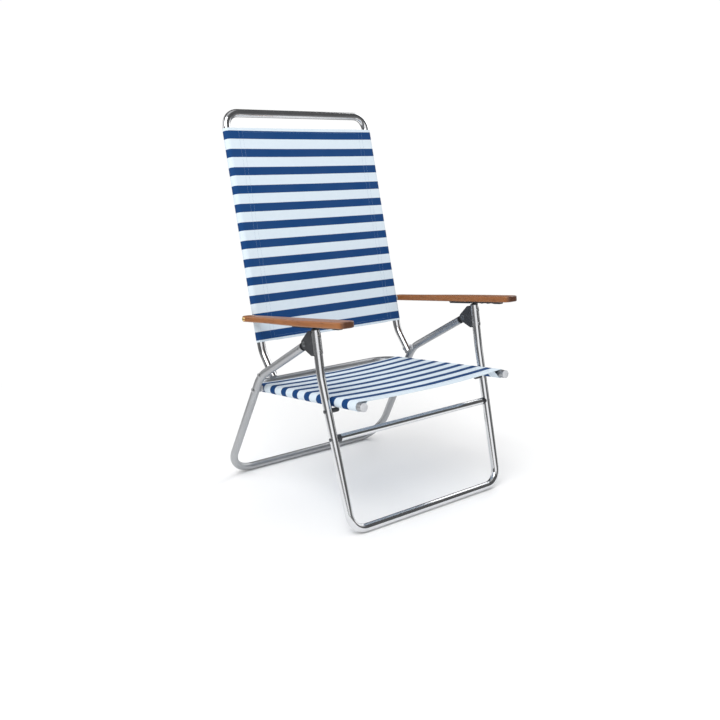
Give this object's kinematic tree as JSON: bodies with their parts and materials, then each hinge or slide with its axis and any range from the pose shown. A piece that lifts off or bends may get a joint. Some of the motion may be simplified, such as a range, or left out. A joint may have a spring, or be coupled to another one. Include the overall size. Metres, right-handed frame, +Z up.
{
  "type": "folding beach chair",
  "caption": "High-back folding beach chair: aluminium tube frames, blue and white striped slings, flat hardwood arms.",
  "frame": {"origin": "on the floor under the middle of the chair's bounding box", "axes": "+Z up, the sitter faces -Y, +X to the sitter's left"},
  "size_m": [0.6226, 0.6311, 1.0532],
  "materials": {
    "satin_aluminium": "satin",
    "polished_aluminium": "polished",
    "rivet_aluminium": "satin",
    "strap_steel": "polished",
    "zinc_steel": "satin",
    "grey_nylon": "matte",
    "charcoal_nylon": "matte",
    "white_nylon": "satin",
    "striped_cloth": "woven",
    "oiled_hardwood": "oiled",
    "brass": "satin"
  },
  "bodies": {
    "rear_frame": {"rear_leg_frame": "satin_aluminium", "rear_leg_plugs": "grey_nylon", "rear_plug_rivets": "rivet_aluminium"},
    "front_frame": {"front_leg_frame": "polished_aluminium", "front_brace": "polished_aluminium", "brace_plugs": "charcoal_nylon", "brace_screws": "zinc_steel", "leg_bracket_left": "charcoal_nylon", "leg_bracket_right": "charcoal_nylon", "leg_strap_left": "strap_steel", "leg_strap_right": "strap_steel", "bracket_screws": "zinc_steel", "leg_pivot_rivets": "rivet_aluminium", "leg_top_caps": "charcoal_nylon", "seat_rest_studs": "zinc_steel", "seat_rest_bushes": "white_nylon"},
    "seat": {"seat_frame": "satin_aluminium", "seat_end_caps": "white_nylon", "seat_sling": "striped_cloth", "seat_pivot_rivets": "rivet_aluminium", "seat_pivot_spacers": "white_nylon"},
    "back_pivots": {"back_pivot_rivets": "rivet_aluminium", "back_pivot_spacers": "white_nylon"},
    "back": {"back_frame": "polished_aluminium", "back_end_plugs": "grey_nylon", "back_sling": "striped_cloth"},
    "arm_pivots": {"arm_pivot_bolts": "brass", "arm_pivot_nuts": "zinc_steel", "arm_pivot_washers": "white_nylon"},
    "arms": {"armrest_left": "oiled_hardwood", "armrest_right": "oiled_hardwood", "arm_rack_left": "charcoal_nylon", "arm_rack_right": "charcoal_nylon", "rack_screws": "zinc_steel", "arm_pivot_bushes": "brass"}
  },
  "joints": [
    {"name": "leg_fold", "type": "hinge", "parent": "rear_frame", "child": "front_frame", "pos_m": [0, -0.1245, 0.4708], "axis": [1, 0, 0], "range_deg": [0, 57]},
    {"name": "seat_fold", "type": "hinge", "parent": "rear_frame", "child": "seat", "pos_m": [0, 0.1241, 0.29595], "axis": [1, 0, 0], "range_deg": [-18.5, 0]},
    {"name": "back_fold", "type": "hinge", "parent": "rear_frame", "child": "back_pivots", "pos_m": [0, 0.093, 0.3443], "axis": [1, 0, 0], "range_deg": [0, 66.5]},
    {"name": "back_recline", "type": "hinge", "parent": "back_pivots", "child": "back", "pos_m": [0, 0.093, 0.3443], "axis": [1, 0, 0], "range_deg": [-30, 0]},
    {"name": "arm_recline", "type": "hinge", "parent": "back", "child": "arm_pivots", "pos_m": [0, 0.1615, 0.491], "axis": [1, 0, 0], "range_deg": [0, 23.17]},
    {"name": "arm_fold", "type": "hinge", "parent": "arm_pivots", "child": "arms", "pos_m": [0, 0.1615, 0.491], "axis": [1, 0, 0], "range_deg": [-86.5, 0]}
  ],
  "couplings": [
    {"joint": "seat_fold", "follows": "leg_fold", "ratio": -0.31579},
    {"joint": "back_fold", "follows": "leg_fold", "ratio": 1.1579},
    {"joint": "arm_fold", "follows": "leg_fold", "ratio": -1.5088},
    {"joint": "arm_recline", "follows": "back_recline", "ratio": -0.76235}
  ]
}
